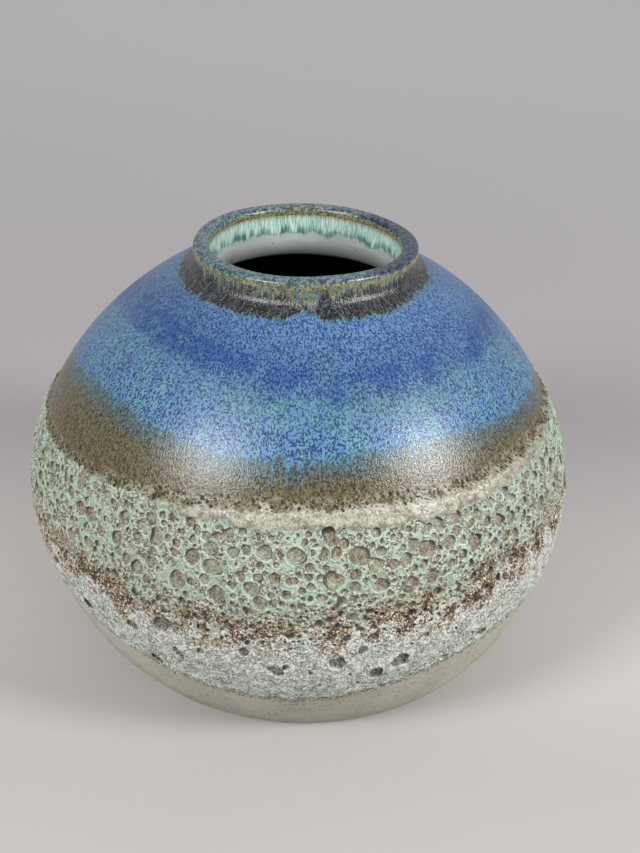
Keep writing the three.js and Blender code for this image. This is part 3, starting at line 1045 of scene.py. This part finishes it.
def pick(names):
    """The outside's fields, without those that a piece's material doesn't use."""
    def fields_of(azimuth, along):
        fields = outside_fields(azimuth, along)
        return {name: fields[name] for name in ("relief", "flow", *names)}
    return fields_of


LIP_TURN = float(OUTSIDE.distance(low_z("rim_glaze"), PAST_LIP))
MOUTH_TURN = float(INSIDE.distance(low_z("rim_glaze"), PAST_LIP))
MOUTH_END = float(INSIDE.distance(low_z("mouth_drip_glaze"), PAST_LIP))
DRIP_END = MOUTH_END + 1.8
NECK_END = float(OUTSIDE.distance(high_z("blue_crystal_glaze") - 1.0, ON_SHOULDER))
FOAM_Z = low_z("turquoise_crater_glaze") + 1.5
RUST_END_Z = low_z("iron_crater_glaze")


def build_outside():
    blue_fields = ("cobalt", "network", "crown", "teal")
    neck_fields = ("neck", "rusty_lip", *blue_fields)
    bronze_fields = ("bronze", "bronze_warm")
    cream_fields = ("olive", "cream", "lip")
    crust_fields = ("mint", "rust", "frost", "lip", "over", "thin")
    lines = (
        constant(LIP_TURN),
        constant(NECK_END),
        along_outside(lambda a: blue_end_z(a) + 1.0),
        along_outside(lambda a: bronze_end_z(a) + 3.2),
        along_outside(lambda a: np.minimum(cream_end_z(a) - 1.0, bronze_end_z(a) - 2.0)),
        along_outside(constant(FOAM_Z)),
        along_outside(constant(RUST_END_Z)),
        along_outside(lambda a: coat_end_z(a) - 3.0),
    )
    bands = (
        # glaze, columns, row spacing, UV strips, fields; one band between two lines
        ("neck", COLUMNS, 0.45, 5, neck_fields),
        ("blue_crystal", COLUMNS, 0.6, 3, (*neck_fields, *bronze_fields)),
        ("bronze", COLUMNS, 0.5, 5, (*blue_fields, *bronze_fields, *cream_fields)),
        ("cream_edge", FINE_COLUMNS, 0.36, 5, ("bronze_warm", "foam", *cream_fields, *crust_fields)),
        ("turquoise_crater", FINE_COLUMNS, 0.42, 5, crust_fields),
        ("iron_crater", FINE_COLUMNS, 0.42, 5, crust_fields),
        ("white_crater", FINE_COLUMNS, 0.55, 5, crust_fields),
    )
    for *ends, (glaze, columns, spacing, strips, names) in zip(lines, lines[1:], bands):
        node = glaze + "_glaze"
        name = node + "_coat"
        mesh = shell(name, OUTSIDE, ends, columns, spacing, strips, pick(names))
        add_piece(name, mesh, band_material(node, names), node)


def build_rim():
    """The lip's own coat, from its skirt outside over the top to its skirt inside."""
    azimuth = turns(COLUMNS)
    outer = np.linspace(LIP_TURN, 0, LIP_ROWS)[:, None] + 0 * azimuth
    inner = np.linspace(0, MOUTH_TURN, LIP_ROWS)[1:, None] + 0 * azimuth
    rings = np.concatenate([
        settled(azimuth, *OUTSIDE.at(outer)),
        settled(azimuth, *INSIDE.at(inner)),
        settled(azimuth, *INSIDE.at(inner[::-4], INNER_HIDE)),
        settled(azimuth, *OUTSIDE.at(outer[::-4], INNER_HIDE)),
    ])
    seen = len(outer) + len(inner)
    mesh = ring_mesh("rim_glaze_coat", rings, 5, seen)
    flat = (LIP_OUTER_RADIUS - LIP_INNER_RADIUS) / 2 - LIP_EDGE_RADIUS
    turned_down = smooth(flat + 1.4, flat + 3.6, np.concatenate([outer, inner]))
    # The lip's right side, where shade is painted.
    right = swell(azimuth, (15, 60), (120, 165)) + 0 * turned_down
    back = 0.45 * ridge(np.abs(np.mod(azimuth, 2 * math.pi) - math.pi), 0.0, 0.7)
    add_fields(mesh, {"edge": turned_down + back, "shaded_right": right}, len(rings) - seen)
    add_piece("rim_glaze_coat", mesh, rim_material(), "rim_glaze")


def inside_fields(azimuth, along):
    """Drips inside the mouth, and the plain liner below them."""
    turn = azimuth + 0 * along
    flow, ring = around(turn, FLOW_RADIUS, along), around(turn, FLOW_RADIUS, 0.0)
    reach = DRIP_END - 2.8 + 1.6 * noise(ring, 16.0, 31, octaves=2) + 0.3 * noise(ring, 3.2, 32)
    above_end = reach - along
    thick = 0.35 * ridge(above_end, 0.9, 1.6) * smooth(-0.4, 0.4, above_end)
    patches = smooth(-0.45, 0.45, noise(ring, 9.0, 33, octaves=2))
    streak = 0.6 * noise(flow, (1.4, 1.4, 8.0), 34, octaves=2)
    return {
        "relief": thick,
        "flow": flow,
        "drip": smooth(-2.6, 1.0, above_end + 0.6 * streak),
        "green": ridge(above_end + 0.5 * streak, 1.2, 1.8) * (0.2 + 0.8 * patches),
        "rusty": 1 - smooth(MOUTH_TURN - 0.6, MOUTH_TURN + 2.2, along + streak),
    }


def build_inside():
    lines = constant(MOUTH_TURN), constant(DRIP_END)
    name = "mouth_drip_glaze_coat"
    mouth = shell(name, INSIDE, lines, COLUMNS, 0.4, 5, inside_fields, INNER_HIDE)
    add_piece(name, mouth, mouth_material(), "mouth_drip_glaze")
    azimuth = turns(CLAY_COLUMNS)
    along = np.linspace(DRIP_END, INSIDE.length, LINER_ROWS)[:, None] + 0 * azimuth
    back = np.linspace(INSIDE.length, DRIP_END, 60)[:, None] + 0 * azimuth
    face = settled(azimuth, *INSIDE.at(along))
    rings = np.concatenate([face, settled(azimuth, *INSIDE.at(back, INNER_HIDE))])
    mesh = ring_mesh("liner_glaze_coat", rings, 2, len(along), pole=len(along) - 1)
    # Painted shade inside: darker from the drips to the throat, nearly black below the throat.
    dusk = 0.58 * smooth(DRIP_END - 1.0, THROAT_END, along)
    unlit = np.maximum(dusk, smooth(THROAT_END - 1.0, THROAT_END + 3.0, along))
    add_fields(mesh, {"unlit": unlit}, len(back))
    add_piece("liner_glaze_coat", mesh, liner_material(), "liner_glaze")


def foot_section():
    """The underside, from its centre to the foot's bevel."""
    outer, inner = wall(FOOT_BEVEL)[0], FOOT_INNER_RADIUS
    return np.array([
        [0.4, FOOT_RECESS],
        [inner - FOOT_RECESS - 1.0, FOOT_RECESS],
        [inner - FOOT_RECESS, FOOT_RECESS - 0.4],
        [inner - 0.4, 0.2],
        [inner + 0.4, 0.0],
        [outer - FOOT_BEVEL - 0.3, 0.0],
        [outer - FOOT_BEVEL + 0.3, 0.2],
        [outer - 0.2, FOOT_BEVEL - 0.3],
    ])


def build_clay():
    """The clay, from the centre of its underside over the lip to the centre of its inner floor."""
    azimuth = turns(CLAY_COLUMNS)
    bare_z = np.linspace(FOOT_BEVEL, BARE_CLAY_TOP, BARE_CLAY_ROWS)
    covered_z = np.linspace(BARE_CLAY_TOP + 2, COVERED_CLAY_TOP, COVERED_CLAY_ROWS)
    outer = OUTSIDE.at(np.linspace(NECK_END, 0, 16), -SKIN)
    inner = INSIDE.at(np.linspace(0.0, INSIDE.length, 90)[1:], -SKIN)
    foot = foot_section()
    lining = np.stack(outer, -1), np.stack(inner, -1)
    section = np.concatenate([foot, wall(bare_z), wall(covered_z), *lining])
    radius, height = section[:, 0, None] + 0 * azimuth, section[:, 1, None] + 0 * azimuth
    turn = azimuth + 0 * height
    shown = smooth(2.0, 6.0, height) * (1 - smooth(BARE_CLAY_TOP, BARE_CLAY_TOP + 6, height))
    throwing = 0.10 * noise(around(turn, radius, height), (80.0, 80.0, 3.2), 41, octaves=2) * shown
    rings = settled(azimuth, radius + throwing, height)
    rows = len(section)
    seen = len(foot) + len(bare_z)
    mesh = ring_mesh("clay_body_form", rings, 5, seen, pole=rows - 1)
    # Where the highlight is painted: the foot's bevel and contact ring.
    lit_edge = ridge(height[:seen], 0.6, 1.4)
    lit_edge = lit_edge * smooth(FOOT_INNER_RADIUS, FOOT_INNER_RADIUS + 4, radius[:seen])
    add_fields(mesh, {"lit_edge": lit_edge}, rows - seen)
    add_piece("clay_body_form", mesh, clay_material(), "clay_body")


# Studio

CAMERA_LENS = 84.375
CAMERA_DISTANCE = 627.3
CAMERA_ELEVATION = 28.98
CAMERA_PAN = 0.676
CAMERA_TILT = 1.507
CAMERA_ROLL = 1.152
FLOOR_HALF = 40.0        # metres
SOFTBOX_DISTANCE = 1.3   # metres, from a point inside the vase
SOFTBOXES = (
    # name, azimuth, elevation, size in metres, power in watts
    ("left_softbox", -44, 33, 0.40, 12.5),
    ("right_softbox", 62, 28, 0.36, 14.5),
)
ROOM_COLOUR = "#e2e0e2"
ROOM_STRENGTH = 0.68


def add_camera():
    """A camera that looks at the axis at the belly's height, then turns a little about itself."""
    elevation = math.radians(CAMERA_ELEVATION)
    away = Vector((0, -math.cos(elevation), math.sin(elevation)))
    pose = Matrix.Translation((away * CAMERA_DISTANCE + Vector((0, 0, EQUATOR_Z))) * MM)
    for axis, degrees in (
        ("X", 90 - CAMERA_ELEVATION), ("Y", -CAMERA_PAN), ("X", CAMERA_TILT), ("Z", CAMERA_ROLL),
    ):
        pose = pose @ Matrix.Rotation(math.radians(degrees), 4, axis)
    data = bpy.data.cameras.new("photo_camera")
    data.lens = CAMERA_LENS
    data.sensor_fit = "HORIZONTAL"
    data.sensor_width = 36.0
    camera = add_object("photo_camera", data)
    camera.matrix_world = pose
    bpy.context.scene.camera = camera


def add_softbox(name, azimuth, elevation, size, power):
    """A square lamp that looks at the vase."""
    turn, rise = math.radians(azimuth), math.radians(elevation)
    towards = Vector(around(turn, math.cos(rise), math.sin(rise)))
    data = bpy.data.lights.new(name, "AREA")
    data.shape = "SQUARE"
    data.size = size
    data.energy = power
    lamp = add_object(name, data)
    lamp.location = Vector((0, 0, 0.1)) + towards * SOFTBOX_DISTANCE
    lamp.rotation_euler = towards.to_track_quat("Z", "Y").to_euler()


def add_studio():
    mesh = bpy.data.meshes.new("studio_floor")
    corners = [(x * FLOOR_HALF, y * FLOOR_HALF, 0) for x, y in ((-1, -1), (1, -1), (1, 1), (-1, 1))]
    mesh.from_pydata(corners, [], [(0, 1, 2, 3)])
    mesh.materials.append(floor_material())
    add_object("studio_floor", mesh)
    for softbox in SOFTBOXES:
        add_softbox(*softbox)
    world = bpy.data.worlds.new("studio")
    world.use_nodes = True
    background = world.node_tree.nodes["Background"]
    background.inputs["Color"].default_value = tint(ROOM_COLOUR)
    background.inputs["Strength"].default_value = ROOM_STRENGTH
    bpy.context.scene.world = world
    bpy.context.scene.view_settings.view_transform = "Standard"


build_clay()
build_inside()
build_rim()
build_outside()
add_camera()
add_studio()

bpy.context.view_layer.update()
